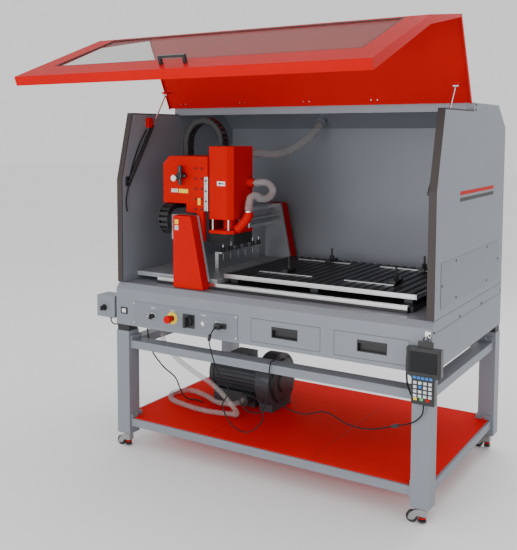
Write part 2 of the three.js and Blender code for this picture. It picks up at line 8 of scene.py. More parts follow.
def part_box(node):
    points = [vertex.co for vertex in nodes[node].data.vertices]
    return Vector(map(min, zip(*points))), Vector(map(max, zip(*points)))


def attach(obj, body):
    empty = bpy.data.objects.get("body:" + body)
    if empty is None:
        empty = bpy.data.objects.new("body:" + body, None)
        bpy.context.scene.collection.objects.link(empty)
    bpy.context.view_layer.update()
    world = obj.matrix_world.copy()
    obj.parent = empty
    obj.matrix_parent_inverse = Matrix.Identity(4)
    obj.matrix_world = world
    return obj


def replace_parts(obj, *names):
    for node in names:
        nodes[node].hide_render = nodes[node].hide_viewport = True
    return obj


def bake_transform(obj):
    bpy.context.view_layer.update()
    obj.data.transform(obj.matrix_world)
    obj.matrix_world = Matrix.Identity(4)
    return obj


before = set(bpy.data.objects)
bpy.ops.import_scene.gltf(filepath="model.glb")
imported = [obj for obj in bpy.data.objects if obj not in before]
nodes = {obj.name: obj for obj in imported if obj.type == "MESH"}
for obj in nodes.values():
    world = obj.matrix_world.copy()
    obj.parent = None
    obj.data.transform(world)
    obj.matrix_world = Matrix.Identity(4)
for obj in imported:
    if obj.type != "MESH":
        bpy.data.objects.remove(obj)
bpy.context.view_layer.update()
scene = bpy.context.scene

# The machine's own frame: X 0 at the right face, Y 0 at the front, Z 0 on the floor, millimetres.
base_low, base_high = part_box("base_housing")
SHIFT = Vector((base_high[0], base_low[1], 0.0))


def at(x, y, z):
    return Vector((x, y, z)) * 0.001 + SHIFT


# ---------------------------------------------------------------- materials
def new_material(name):
    m = bpy.data.materials.new(name)
    m.use_nodes = True
    return m, m.node_tree, m.node_tree.nodes["Principled BSDF"]


def noise(tree, scale, detail=4.0, rough=0.6):
    coords = tree.nodes.new("ShaderNodeTexCoord")
    n = tree.nodes.new("ShaderNodeTexNoise")
    n.inputs["Scale"].default_value = scale
    n.inputs["Detail"].default_value = detail
    n.inputs["Roughness"].default_value = rough
    tree.links.new(coords.outputs["Object"], n.inputs["Vector"])
    return n


def ramp(tree, source, low, high):
    r = tree.nodes.new("ShaderNodeMapRange")
    r.inputs["To Min"].default_value = low
    r.inputs["To Max"].default_value = high
    tree.links.new(source, r.inputs["Value"])
    return r.outputs["Result"]


def surface(name, colour, rough=0.4, metal=0.0, grain=260.0, bump=0.08, spread=0.06, vary=0.06, shine=0.5):
    """A surface whose colour, roughness and height vary a little."""
    m, tree, shader = new_material(name)
    big = noise(tree, 3.5)
    fine = noise(tree, grain, 3.0)
    mix = tree.nodes.new("ShaderNodeMix")
    mix.data_type = "RGBA"
    mix.inputs["A"].default_value = [c * (1 - vary) for c in colour] + [1]
    mix.inputs["B"].default_value = [min(1, c * (1 + vary)) for c in colour] + [1]
    tree.links.new(big.outputs["Fac"], mix.inputs["Factor"])
    tree.links.new(mix.outputs["Result"], shader.inputs["Base Color"])
    uneven = ramp(tree, fine.outputs["Fac"], rough - spread, rough + spread)
    tree.links.new(uneven, shader.inputs["Roughness"])
    height = tree.nodes.new("ShaderNodeBump")
    height.inputs["Strength"].default_value = bump
    height.inputs["Distance"].default_value = 0.0006
    tree.links.new(fine.outputs["Fac"], height.inputs["Height"])
    tree.links.new(height.outputs["Normal"], shader.inputs["Normal"])
    shader.inputs["Metallic"].default_value = metal
    shader.inputs["Specular IOR Level"].default_value = shine
    return m


def clear(name, tint, alpha, rough):
    m, tree, shader = new_material(name)
    fine = noise(tree, 40.0, 2.0)
    shader.inputs["Base Color"].default_value = [*tint, 1]
    tree.links.new(ramp(tree, fine.outputs["Fac"], rough, rough + 0.06), shader.inputs["Roughness"])
    shader.inputs["Alpha"].default_value = alpha
    shader.inputs["Specular IOR Level"].default_value = 0.2
    return m


grey = surface("blue_grey_paint", (0.215, 0.235, 0.268), 0.42, 0.15, 420, 0.12, shine=0.35)
ledge_grey = surface("panel_grey", (0.195, 0.215, 0.245), 0.42, 0.15, 420, 0.12, shine=0.35)
light_grey = surface("light_grey_paint", (0.33, 0.355, 0.38), 0.42, 0.3, 300, 0.1)
red = surface("red_paint", (0.50, 0.0008, 0.0010), 0.42, 0.0, 380, 0.10, shine=0.06)
shelf_red = surface("shelf_red", (0.66, 0.0008, 0.0010), 0.6, 0.0, 380, 0.12, shine=0.03)
black = surface("black_plastic", (0.012, 0.012, 0.014), 0.5, 0.0, 500, 0.25, vary=0.25)
satin_black = surface("satin_black", (0.016, 0.016, 0.018), 0.32, 0.0, 300, 0.1, vary=0.2)
trim = surface("rubber_trim", (0.030, 0.022, 0.020), 0.6, 0.0, 600, 0.35, vary=0.25)
steel = surface("bright_steel", (0.72, 0.72, 0.73), 0.2, 1.0, 700, 0.04, vary=0.05)
aluminium = surface("aluminium", (0.62, 0.63, 0.64), 0.34, 1.0, 500, 0.08, vary=0.08)
cast_metal = surface("cast_metal", (0.34, 0.345, 0.35), 0.32, 0.7, 420, 0.25, vary=0.12)
dark = surface("dark_metal", (0.030, 0.031, 0.034), 0.38, 0.5, 380, 0.15, vary=0.3)
table_dark = surface("table_dark", (0.062, 0.066, 0.072), 0.34, 0.4, 300, 0.12, vary=0.3)
pump_grey = surface("pump_casting", (0.055, 0.06, 0.068), 0.5, 0.5, 240, 0.5, vary=0.25)
yellow = surface("yellow_plastic", (0.80, 0.56, 0.02), 0.4, 0.0, 300, 0.1)
green = surface("green_cap", (0.10, 0.42, 0.12), 0.45, 0.0, 300, 0.1)
blue = surface("blue_key", (0.015, 0.16, 0.50), 0.5, 0.0, 300, 0.15)
key_light = surface("light_key", (0.55, 0.60, 0.62), 0.5, 0.0, 300, 0.15)
white = surface("white_plastic", (0.72, 0.72, 0.70), 0.4, 0.0, 300, 0.1)
label_grey = surface("label_plain", (0.50, 0.50, 0.48), 0.5, 0.0, 300, 0.1)
screen = surface("pendant_screen", (0.006, 0.007, 0.008), 0.16, 0.0, 200, 0.02, spread=0.03, shine=0.25)
bristle = surface("brush_bristles", (0.008, 0.008, 0.009), 0.75, 0.0, 900, 1.0, vary=0.6)
cable_black = surface("cable_rubber", (0.008, 0.008, 0.009), 0.5, 0.0, 500, 0.2, vary=0.25, shine=0.2)
glass = clear("lid_glass", (0.16, 0.13, 0.12), 0.26, 0.08)
hose_clear = clear("clear_hose", (0.42, 0.38, 0.37), 0.34, 0.10)


def paint(node, material, bevel=0.0012):
    o = nodes[node]
    if o.data.materials:
        for k in range(len(o.data.materials)):
            o.data.materials[k] = material
    else:
        o.data.materials.append(material)
    weld = o.modifiers.new("weld", "WELD")
    weld.merge_threshold = 0.00002
    edge = o.modifiers.new("edge", "BEVEL")
    edge.width = bevel
    edge.segments = 2
    edge.limit_method = "ANGLE"
    edge.angle_limit = math.radians(35)


looks = {
    grey: ["stand_frame_left", "stand_frame_right", "rail_upper_front", "rail_upper_rear", "rail_lower_front",
           "rail_lower_rear", "base_housing", "drawer_left", "drawer_right", "side_box", "side_panel_left",
           "side_panel_right", "back_and_roof"],
    ledge_grey: ["control_panel"],
    shelf_red: ["shelf"],
    red: ["lid_shell", "gantry_tower_front", "gantry_tower_rear", "y_carriage", "head_cover",
          "emergency_stop"],
    light_grey: ["bed_platform", "gantry_beam"],
    dark: ["machine_bed"],
    table_dark: ["work_table"],
    pump_grey: ["vacuum_pump"],
    satin_black: ["mode_selector", "side_box_selector", "pendant_plug", "lid_handle", "strut_cylinder_left",
                  "strut_cylinder_right", "pendant", "main_switch"],
    white: ["start_button"],
    steel: ["strut_rod_left", "strut_rod_right", "y_ball_screw", "spindle_tool"],
    glass: ["lid_window"],
}
for material, names in looks.items():
    for name in names:
        paint(name, material, 0.003 if name.startswith(("stand", "rail_")) else 0.0012)
for name in nodes:
    if name.startswith("caster_fork"):
        paint(name, cast_metal, 0.0015)
    if name.startswith("caster_wheel"):
        paint(name, satin_black, 0.003)
    if name.startswith("caster_foot"):
        paint(name, black, 0.001)


# ---------------------------------------------------------------- building small pieces
class Kit:
    """Gathers simple solids into one mesh that rides on a body."""

    def __init__(self, name, material, body, bevel=0.0008, offset=0.0):
        self.name, self.material, self.body, self.bevel = name, material, body, bevel
        self.offset = offset
        self.mesh = bmesh.new()

    def box(self, x0, x1, y0, y1, z0, z1, turn=None):
        made = bmesh.ops.create_cube(self.mesh, size=1.0)["verts"]
        centre = at((x0 + x1) / 2, (y0 + y1) / 2, (z0 + z1) / 2)
        scale = Matrix.Diagonal(((x1 - x0) * 0.001, (y1 - y0) * 0.001, (z1 - z0) * 0.001, 1))
        spin = turn.to_4x4() if turn else Matrix.Identity(4)
        bmesh.ops.transform(self.mesh, matrix=Matrix.Translation(centre) @ spin @ scale, verts=made)
        return self

    def rod(self, start, end, radius, sides=24, top=None):
        a, b = at(*start), at(*end)
        along = b - a
        top = radius if top is None else top
        cone = bmesh.ops.create_cone(self.mesh, cap_ends=True, segments=sides, radius1=radius * 0.001,
                                     radius2=top * 0.001, depth=along.length)
        made = cone["verts"]
        spin = along.to_track_quat("Z", "Y").to_matrix().to_4x4()
        bmesh.ops.transform(self.mesh, matrix=Matrix.Translation((a + b) / 2) @ spin, verts=made)
        return self

    def prism(self, points, axis, low, high):
        """points are (u, v) on the plane across the axis."""
        rings = []
        for level in (low, high):
            ring = []
            for u, v in points:
                place = {"x": (level, u, v), "y": (u, level, v), "z": (u, v, level)}[axis]
                ring.append(self.mesh.verts.new(at(*place)))
            rings.append(ring)
        count = len(points)
        self.mesh.faces.new(rings[0])
        self.mesh.faces.new(rings[1])
        for k in range(count):
            j = (k + 1) % count
            self.mesh.faces.new((rings[0][k], rings[0][j], rings[1][j], rings[1][k]))
        return self

    def done(self, ride=True):
        bmesh.ops.translate(self.mesh, vec=(self.offset * 0.001, 0, 0), verts=self.mesh.verts)
        bmesh.ops.recalc_face_normals(self.mesh, faces=self.mesh.faces)
        data = bpy.data.meshes.new(self.name)
        self.mesh.to_mesh(data)
        self.mesh.free()
        data.materials.append(self.material)
        o = bpy.data.objects.new(self.name, data)
        scene.collection.objects.link(o)
        if self.bevel:
            edge = o.modifiers.new("edge", "BEVEL")
            edge.width = self.bevel
            edge.segments = 2
            edge.limit_method = "ANGLE"
            edge.angle_limit = math.radians(35)
        if ride:
            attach(o, self.body)
        return o


def smooth_line(points, count):
    """Centripetal Catmull-Rom line through the points, as in the CAD routes."""
    pts = [Vector(p) for p in points]
    pts = [pts[0] * 2 - pts[1]] + pts + [pts[-1] * 2 - pts[-2]]
    dense = []
    for k in range(1, len(pts) - 2):
        p0, p1, p2, p3 = pts[k - 1:k + 3]
        t0 = 0.0
        t1 = t0 + max(1e-4, (p1 - p0).length) ** 0.5
        t2 = t1 + max(1e-4, (p2 - p1).length) ** 0.5
        t3 = t2 + max(1e-4, (p3 - p2).length) ** 0.5
        for j in range(24):
            t = t1 + (t2 - t1) * j / 24
            a1 = p0 * ((t1 - t) / (t1 - t0)) + p1 * ((t - t0) / (t1 - t0))
            a2 = p1 * ((t2 - t) / (t2 - t1)) + p2 * ((t - t1) / (t2 - t1))
            a3 = p2 * ((t3 - t) / (t3 - t2)) + p3 * ((t - t2) / (t3 - t2))
            b1 = a1 * ((t2 - t) / (t2 - t0)) + a2 * ((t - t0) / (t2 - t0))
            b2 = a2 * ((t3 - t) / (t3 - t1)) + a3 * ((t - t1) / (t3 - t1))
            dense.append(b1 * ((t2 - t) / (t2 - t1)) + b2 * ((t - t1) / (t2 - t1)))
    dense.append(pts[-2])
    total = [0.0]
    for a, b in zip(dense, dense[1:]):
        total.append(total[-1] + (b - a).length)
    result = []
    k = 0
    for j in range(count + 1):
        want = total[-1] * j / count
        while k < len(total) - 2 and total[k + 1] < want:
            k += 1
        span = max(1e-9, total[k + 1] - total[k])
        result.append(dense[k].lerp(dense[k + 1], min(1, (want - total[k]) / span)))
    return result, total[-1]


def sweep(name, points, radius_at, material, sides=20):
    """A closed tube along points in machine millimetres; radius_at(index) gives its radius."""
    mesh = bmesh.new()
    world = [at(*p) for p in points]
    side = None
    rings = []
    for k, p in enumerate(world):
        ahead = (world[min(k + 1, len(world) - 1)] - world[max(k - 1, 0)]).normalized()
        if side is None:
            side = ahead.orthogonal().normalized()
        side = (side - ahead * side.dot(ahead)).normalized()
        across = ahead.cross(side)
        r = radius_at(k) * 0.001
        rings.append([mesh.verts.new(p + (side * math.cos(a) + across * math.sin(a)) * r)
                      for a in (2 * math.pi * j / sides for j in range(sides))])
    for one, two in zip(rings, rings[1:]):
        for j in range(sides):
            i = (j + 1) % sides
            mesh.faces.new((one[j], one[i], two[i], two[j])).smooth = True
    mesh.faces.new(rings[0][::-1])
    mesh.faces.new(rings[-1])
    bmesh.ops.recalc_face_normals(mesh, faces=mesh.faces)
    data = bpy.data.meshes.new(name)
    mesh.to_mesh(data)
    mesh.free()
    data.materials.append(material)
    o = bpy.data.objects.new(name, data)
    scene.collection.objects.link(o)
    return o


# ---------------------------------------------------------------- camera
camera_data = bpy.data.cameras.new("camera")
camera = bpy.data.objects.new("camera", camera_data)
scene.collection.objects.link(camera)
CAMERA_AT = (1049.4, -3132.3, 1622.1)
YAW, PITCH, ROLL = 32.640, 4.701, -0.017
FOCAL_PIXELS, CENTRE_X, CENTRE_Y = 811.12, 231.83, 200.0
scene.render.resolution_x, scene.render.resolution_y = 517, 550
camera_data.sensor_width = 36.0
camera_data.lens = 36.0 * FOCAL_PIXELS / 550.0
camera_data.shift_x = (258.5 - CENTRE_X) / 550.0
camera_data.shift_y = (CENTRE_Y - 275.0) / 550.0
camera_data.clip_end = 60.0
camera.location = at(*CAMERA_AT)
camera.rotation_euler = (math.radians(90 - PITCH), math.radians(ROLL), math.radians(YAW))
scene.camera = camera

# ---------------------------------------------------------------- cords and hoses
SHELF_TOP = (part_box("shelf")[1][2]) * 1000.0


def ribbed(name, points, diameter, pitch=7.0, sides=18):
    """A clear hose whose wall swells and narrows four steps to a rib."""
    length = smooth_line(points, 10)[1]
    pattern = (1.0, 0.95, 0.86, 0.95)
    count = int(length / (pitch / len(pattern)))
    line, length = smooth_line(points, count)
    o = sweep(name, line, lambda k: diameter / 2 * pattern[k % len(pattern)], hose_clear, sides)
    return o, line, length


hose_low = SHELF_TOP + 14.4
pump_floor = SHELF_TOP + 0.4
vacuum_points = [
    (-1480, 150, 649), (-1480, 150, 600), (-1472, 158, 540), (-1420, 180, 470), (-1330, 210, 400),
    (-1230, 240, 340), (-1130, 250, 260), (-1100, 270, 200), (-1150, 290, hose_low + 4),
    (-1300, 270, hose_low), (-1450, 290, hose_low),
    (-1560, 330, hose_low), (-1610, 420, hose_low), (-1560, 500, hose_low), (-1430, 470, hose_low + 1),
    (-1310, 400, hose_low + 8), (-1215, 345, hose_low + 30), (-1165, 340, pump_floor + 52),
    (-1150, 375, pump_floor + 55), (-1150, 409, pump_floor + 55)]
hose, line, length = ribbed("vacuum_hose_ribbed", vacuum_points, 28)
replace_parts(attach(hose, "machine"), "vacuum_hose")

extraction_points = [
    (-1110, 339, 1530), (-1110, 380, 1530), (-1106, 440, 1522), (-1088, 550, 1514), (-1062, 660, 1517),
    (-1043, 750, 1540), (-1012, 850, 1590), (-995, 915, 1634), (-990, 960, 1672)]
hose, line, length = ribbed("extraction_hose_ribbed", extraction_points, 44, 8.0, 20)
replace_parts(hose, "extraction_hose")
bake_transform(hose)

dust_points = [
    (-1015, 300, 1378), (-996, 301, 1378), (-972, 310, 1382), (-948, 326, 1372), (-932, 336, 1340),
    (-940, 306, 1308), (-955, 262, 1305), (-966, 226, 1322), (-980, 204, 1312), (-990, 206, 1282),
    (-998, 215, 1256), (-998, 216, 1238)]
hose, line, length = ribbed("dust_hose_ribbed", dust_points, 38, 7.0, 20)
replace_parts(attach(hose, "head"), "dust_hose")

lead_low = SHELF_TOP + 4.6
lead_points = [
    (-1560, 130, 649), (-1560, 130, 600), (-1555, 150, 500), (-1540, 230, 390), (-1530, 330, 300),
    (-1525, 366, 230), (-1515, 384, lead_low + 20), (-1495, 396, lead_low + 3), (-1465, 406, lead_low),
    (-1430, 410, lead_low), (-1400, 400, lead_low)]
line, length = smooth_line(lead_points, 160)
lead = sweep("shelf_lead_round", line, lambda k: 3.5, cable_black, 14)
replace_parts(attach(lead, "machine"), "shelf_lead")

cord_front = -3 - 44 - 0.4
pendant_points = [
    (-1014, cord_front - 1, 721), (-1014, cord_front - 12, 720), (-1018, cord_front - 28, 706),
    (-1032, cord_front - 30, 670), (-1036, -60, 620), (-1010, -45, 520), (-950, -40, 430), (-985, -36, 350),
    (-930, -30, 262), (-850, -30, 250), (-775, -26, 320), (-790, -24, 400), (-870, -20, 420),
    (-900, -20, 390),
    (-870, -18, 350), (-790, -14, 350), (-752, -8, 460), (-752, -3, 555), (-752, 12, 584), (-757, 52, 582),
    (-764, 92, 584), (-770, 109, 555), (-775, 106, 500), (-775, 98, 440), (-720, 60, 380), (-600, 30, 366),
    (-480, 20, 400), (-360, -10, 378), (-260, -20, 380), (-160, -24, 412), (-60, -24, 452), (-28, -23, 488),
    (-23, -23, 515), (-23, -23, 531)]
line, length = smooth_line(pendant_points, 420)
cable = sweep("pendant_cable_round", line, lambda k: 3.0, cable_black, 12)
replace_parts(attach(cable, "machine"), "pendant_cable")


def along(line, fraction):
    k = int(fraction * (len(line) - 2))
    return line[k], line[k + 1]


for name, fraction in (("ferrite_near_plug", 0.028), ("ferrite_near_pendant", 0.93)):
    a, b = along(line, fraction)
    step = (b - a).normalized()
    kit = Kit(name, satin_black, "machine", 0.002)
    kit.rod(a - step * 15, a + step * 15, 8, 24)
    kit.done()


# ---------------------------------------------------------------- cable chains
def chain(name, path, across, wide, thick, nodes_for):
    """Links along a path in machine millimetres, each a frame with side plates."""
    mesh = bmesh.new()
    pitch = 24.0
    plate, bar = (pitch * 1.02, 6, thick), (pitch * 0.62, wide, 5)
    core = (pitch * 0.9, wide * 0.55, thick * 0.45)
    link = ((plate, (0, wide / 2 - 3, 0)), (plate, (0, 3 - wide / 2, 0)), (bar, (0, 0, thick / 2 - 3)),
            (bar, (0, 0, 3 - thick / 2)), (core, (0, 0, 0)))
    line, length = smooth_line(path, 200)
    count = int(length / pitch)
    line, length = smooth_line(path, count)
    wide_dir = Vector(across)
    for one, two in zip(line, line[1:]):
        middle = (at(*one) + at(*two)) / 2
        ahead = (at(*two) - at(*one)).normalized()
        up = ahead.cross(wide_dir).normalized()
        basis = Matrix((ahead, wide_dir, up)).transposed().to_4x4()
        for size, shift in link:
            made = bmesh.ops.create_cube(mesh, size=1.0)["verts"]
            scale = Matrix.Diagonal((size[0] * 0.001, size[1] * 0.001, size[2] * 0.001, 1))
            place = Matrix.Translation(middle) @ basis @ Matrix.Translation(Vector(shift) * 0.001) @ scale
            bmesh.ops.transform(mesh, matrix=place, verts=made)
    data = bpy.data.meshes.new(name)
    mesh.to_mesh(data)
    mesh.free()
    data.materials.append(black)
    o = bpy.data.objects.new(name, data)
    scene.collection.objects.link(o)
    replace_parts(o, nodes_for)
    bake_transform(o)
    return o


arch = [(-1373, 240, 1512), (-1373, 240, 1573)]
for k in range(1, 16):
    turn = math.pi - math.pi * k / 16
    arch.append((-1267 + 106 * math.cos(turn), 240, 1574 + 112 * math.sin(turn)))
arch += [(-1161, 240, 1573), (-1161, 240, 1561)]
chain("head_chain", arch, (0, 1, 0), 52, 32,
      "drag_chain_head")
bend = [(-1410, 298, 1258), (-1410, 220, 1258)]
for k in range(0, 13):
    turn = math.pi / 2 + math.pi * k / 12
    bend.append((-1410, 145 + 65 * math.cos(turn), 1193 + 65 * math.sin(turn)))
bend += [(-1410, 300, 1128), (-1410, 440, 1128), (-1410, 558, 1128)]
chain("gantry_chain", bend, (1, 0, 0), 56, 26,
      "drag_chain_gantry")

# ---------------------------------------------------------------- stand and base
kit = Kit("leg_pads", black, "machine", 0.0015)
for x in (-1654, -76):
    for y in (4, 982):
        kit.box(x - 0.6, x + 72.6, y - 0.6, y + 72.6, 618.2, 649.5)
kit.done()

kit = Kit("frame_bolts", steel, "machine", 0.0006)
for z in (162, 571):
    for y in (52, 1006):
        for x, way in ((-1569.5, 1), (-88.5, -1)):
            kit.rod((x, y, z + 13), (x + way * 7, y, z + 13), 8, 6)
    for x in (-1612, -46):
        for y, way in ((88.2, 1), (969.8, -1)):
            kit.rod((x, y, z + 13), (x, y + way * 7, z + 13), 8, 6)
kit.done()

kit = Kit("shelf_seams", trim, "machine", 0)
for x in (-1110, -560):
    kit.box(x, x + 1.5, 24, 1034, SHELF_TOP + 0.02, SHELF_TOP + 0.35)
kit.done()

kit = Kit("access_panel", ledge_grey, "machine", 0.0006)
kit.box(0.2, 2.0, 93, 983, 900, 1091)
kit.done()
kit = Kit("panel_screws", dark, "machine", 0.0004)
for y, z in ((287, 1079), (765, 1081), (964, 1000), (104, 996), (296, 917), (768, 920)):
    kit.rod((2.0, y, z), (4.2, y, z), 5, 16)
for y, z in ((360, 822), (702, 819), (18, 819), (1043, 826), (534, 1749), (534, 1727)):
    kit.rod((0.1, y, z), (2.6, y, z), 5, 16)
kit.done()
kit = Kit("base_seam", trim, "machine", 0)
kit.box(0.02, 0.5, 26, 1056, 812, 813.4)
kit.box(0.02, 0.5, 20, 1056, 863.5, 864.6)
kit.done()
kit = Kit("plain_stripe_red", red, "machine", 0)
kit.box(0.1, 0.9, 330, 860, 1356, 1372)
kit.done()
kit = Kit("plain_stripe_dark", black, "machine", 0)
kit.box(0.1, 0.9, 330, 860, 1328, 1344)
kit.done()

for side, x0, x1 in (("left", -1659, -1627), ("right", -31, 1)):
    kit = Kit("rubber_trim_" + side, trim, "machine", 0.001)
    kit.prism([(14, 866), (14, 1389), (101, 1722), (103, 1726), (506, 1726), (506, 1719.6), (107, 1719.6),
               (19.6, 1388), (19.6, 866)], "x", x0, x1)
    kit.done()

# drawers
drawers = (("drawer_left", -851, -501, (-741, -614)), ("drawer_right", -433, -96, (-323, -194)))
for name, left, right, pull in drawers:
    kit = Kit(name + "_pull", satin_black, name, 0.0012)
    kit.box(pull[0] - 3, pull[1] + 3, -1.6, -0.2, 701, 705)
    kit.box(pull[0] - 3, pull[1] + 3, -1.6, -0.2, 748, 752)
    kit.box(pull[0] - 3, pull[0] + 1, -1.6, -0.2, 701, 752)
    kit.box(pull[1] - 1, pull[1] + 3, -1.6, -0.2, 701, 752)
    kit.box(pull[0] + 0.5, pull[1] - 0.5, 18.4, 19.8, 704.5, 748.5)
    kit.box(pull[0] + 0.3, pull[0] + 1.5, 0.5, 19.8, 704.5, 748.5)
    kit.box(pull[1] - 1.5, pull[1] - 0.3, 0.5, 19.8, 704.5, 748.5)
    kit.box(pull[0] + 0.5, pull[1] - 0.5, 0.5, 19.8, 704.2, 705.4)
    kit.box(pull[0] + 0.5, pull[1] - 0.5, -2.2, 6, 738, 748.8)
    kit.done()
    kit = Kit(name + "_gap", trim, "machine", 0)
    for x0, x1, z0, z1 in ((left - 1.6, left - 0.2, 669, 779), (right + 0.2, right + 1.6, 669, 779),
                           (left - 1.6, right + 1.6, 669.4, 670.8), (left - 1.6, right + 1.6, 777.2, 778.6)):
        kit.box(x0, x1, 1.2, 3.8, z0, z1)
    kit.done()

# ---------------------------------------------------------------- control panel
FRONT = -3.0
kit = Kit("button_sleeves", satin_black, "machine", 0.0006)
kit.rod((-1300, FRONT - 2.7, 722), (-1300, FRONT - 6.6, 722), 14, 32)
kit.rod((-1114, FRONT - 3.3, 720), (-1114, FRONT - 4.8, 720), 12, 32)
kit.done()
kit = Kit("stop_disc", yellow, "machine", 0.001)
kit.rod((-1300, FRONT - 0.1, 722), (-1300, FRONT - 2.6, 722), 31, 40)
kit.done()
kit = Kit("main_switch_plate", satin_black, "machine", 0.001)
kit.box(-1236, -1166, FRONT - 2.4, FRONT - 0.1, 686, 753)
kit.done()
kit = Kit("main_switch_knob", satin_black, "main_switch", 0.0015)
kit.box(-1207.5, -1194.5, -47, -19, 694, 745)
kit.done()
kit = Kit("control_bezels", steel, "machine", 0.0006)
for x, r in ((-1114, 14), (-1418, 16), (-1452, 9)):
    kit.rod((x, FRONT - 0.1, 720), (x, FRONT - 3.2, 720), r, 32)
for x in (-1538, -932):
    for z in (671, 772):
        kit.rod((x, FRONT - 0.1, z), (x, FRONT - 2.4, z), 4.5, 16)
kit.done()
kit = Kit("small_toggle", satin_black, "machine", 0.0006)
kit.rod((-1452, FRONT - 3, 720), (-1452, FRONT - 16, 725), 3, 16)
kit.box(-1628, -1584, -3.0, -0.2, 707, 741)
kit.done()
kit = Kit("socket_plate_face", white, "machine", 0.0006)
kit.box(-1618, -1594, -4.6, -3.1, 714, 734)
kit.done()
kit = Kit("selector_marks", label_grey, "machine", 0.0002)
for x in (-1418, -1300, -1114):
    kit.box(x - 14, x + 14, FRONT - 0.5, FRONT - 0.05, 756, 761)
kit.done()
kit = Kit("data_socket_frame", steel, "machine", 0.0006)
kit.box(-1047, -980, FRONT - 1.6, FRONT - 0.1, 703, 739)
kit.done()
kit = Kit("side_box_details", satin_black, "machine", 0.0008)
kit.rod((-1739, -0.1, 724), (-1739, -4, 724), 17, 32)
kit.rod((-1730, 40, 674.6), (-1730, 40, 660), 8, 20)
kit.done()

line, length = smooth_line([(-1730, 40, 660), (-1730, 40, 648), (-1718, 42, 634), (-1694, 48, 632),
                             (-1670, 56, 648), (-1657, 60, 662)], 40)
side_cable = sweep("side_box_cable", line, lambda k: 3.2, cable_black, 12)
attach(side_cable, "machine")

# ---------------------------------------------------------------- pendant
PENDANT_X = 10.5
kit = Kit("pendant_screen", screen, "pendant", 0.001, offset=PENDANT_X)
kit.box(-88, 24, -40.4, -38.1, 664, 748)
kit.done()
kit = Kit("pendant_bezel", satin_black, "pendant", 0.001, offset=PENDANT_X)
kit.box(-96, 32, -39.6, -38.1, 750, 757)
kit.box(-96, 32, -39.6, -38.1, 655, 662)
kit.done()
kit = Kit("pendant_blue_row", blue, "pendant", 0.0006, offset=PENDANT_X)
for x in (-74, -57, -40, -23, -6):
    kit.box(x, x + 13, -41.0, -39.5, 637, 648)
kit.box(-50, -37, -41.2, -39.5, 600, 611)
kit.done()
kit = Kit("pendant_keypad", black, "pendant", 0.0006, offset=PENDANT_X)
kit.box(-78, 13, -39.4, -38.1, 542, 652)
kit.done()
colours = {"light": key_light, "yellow": yellow, "green": green, "red": red}
keys = {"light": [], "yellow": [(-70, 550)], "green": [(-44, 550)], "red": [(-18, 550)]}
for row in range(4):
    for column in range(4):
        if (row, column) != (1, 1):
            keys["light"].append((-72 + column * 21, 617 - row * 18))
for shade, places in keys.items():
    kit = Kit("pendant_keys_" + shade, colours[shade], "pendant", 0.001, offset=PENDANT_X)
    for x, z in places:
        kit.box(x, x + 14, -41.2, -39.5, z - 1, z + 11)
    kit.done()
kit = Kit("pendant_hook", steel, "machine", 0.0008, offset=PENDANT_X)
kit.rod((-28, -0.2, 812), (-28, -23, 812), 3, 16)
kit.rod((-28, -23, 812), (-28, -23, 800), 3, 16)
kit.box(-40, -16, -3, -0.2, 800, 826)
kit.done()
kit = Kit("pendant_grips", black, "pendant", 0.003, offset=PENDANT_X)
for x0, x1 in ((-103, -92), (28, 39)):
    kit.box(x0, x1, -41, -38.2, 660, 760)
kit.done()
line, length = smooth_line([(x + PENDANT_X, y, z) for x, y, z in (
    (-103, -22, 745), (-105, -26, 715), (-105, -28, 660), (-100, -26, 600), (-82, -24, 556))], 40)
strap = sweep("hand_strap", line, lambda k: 4.0, cable_black, 10)
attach(strap, "pendant")

# ---------------------------------------------------------------- lid
def lid_place(point_a, point_b, along_mm, out_mm):
    """A point on the lid skin from a towards b, moved outwards."""
    a, b = Vector(point_a), Vector(point_b)
    step = (b - a).normalized()
    normal = Vector((-step.y, step.x))
    p = a + step * along_mm + normal * out_mm
    return p.x, p.y


P0, P1, P2, P3 = (491, 1759), (312, 2125), (-86, 2074), (-642, 1867)
LID_HINGES = (-1605, -1225, -852, -492)
kit = Kit("window_seal", trim, "lid", 0.0006)
SEAL_TOP, SEAL_LOW = -0.4, -3.6
seal_strips = ((141, 149, -1567, -98), (570, 578, -1567, -98),
               (141, 578, -1567, -1559), (141, 578, -106, -98))
for s0, s1, x0, x1 in seal_strips:
    corners = ((s0, SEAL_TOP), (s1, SEAL_TOP), (s1, SEAL_LOW), (s0, SEAL_LOW))
    kit.prism([lid_place(P3, P2, *corner) for corner in corners], "x", x0, x1)
kit.done()
kit = Kit("lid_hinges", red, "lid", 0.0006)
bolts = Kit("lid_hinge_bolts", steel, "lid", 0.0004)
for x in LID_HINGES:
    a, b = lid_place(P0, P1, 2, 5), lid_place(P0, P1, 42, 5)
    a2, b2 = lid_place(P0, P1, 2, 2.0), lid_place(P0, P1, 42, 2.0)
    kit.prism([a, b, b2, a2], "x", x, x + 60)
    for dx in (14, 46):
        c, d = lid_place(P0, P1, 26, 5), lid_place(P0, P1, 26, 8)
        bolts.rod((x + dx, c[0], c[1]), (x + dx, d[0], d[1]), 3.4, 16)
kit.done()
bolts.done()
kit = Kit("hinge_barrels", steel, "machine", 0.0004)
for x in LID_HINGES:
    kit.rod((x, 501, 1764), (x + 60, 501, 1764), 4.5, 20)
kit.done()
for side, x in (("left", -1614), ("right", -44)):
    kit = Kit("strut_foot_" + side, dark, "machine", 0.0008)
    x0, x1 = (-1627.8, -1623.8) if side == "left" else (-34.2, -30.2)
    kit.box(x0, x1, 44, 82, 1354, 1402)
    kit.done()
    kit = Kit("strut_head_" + side, red, "lid", 0.0008)
    kit.box(x - 16, x + 16, 352, 400, 1834, 1842)
    kit.done()
kit = Kit("lid_switch", red, "machine", 0.002)
kit.box(-1627.5, -1606, 212, 246, 1652, 1702)
kit.done()
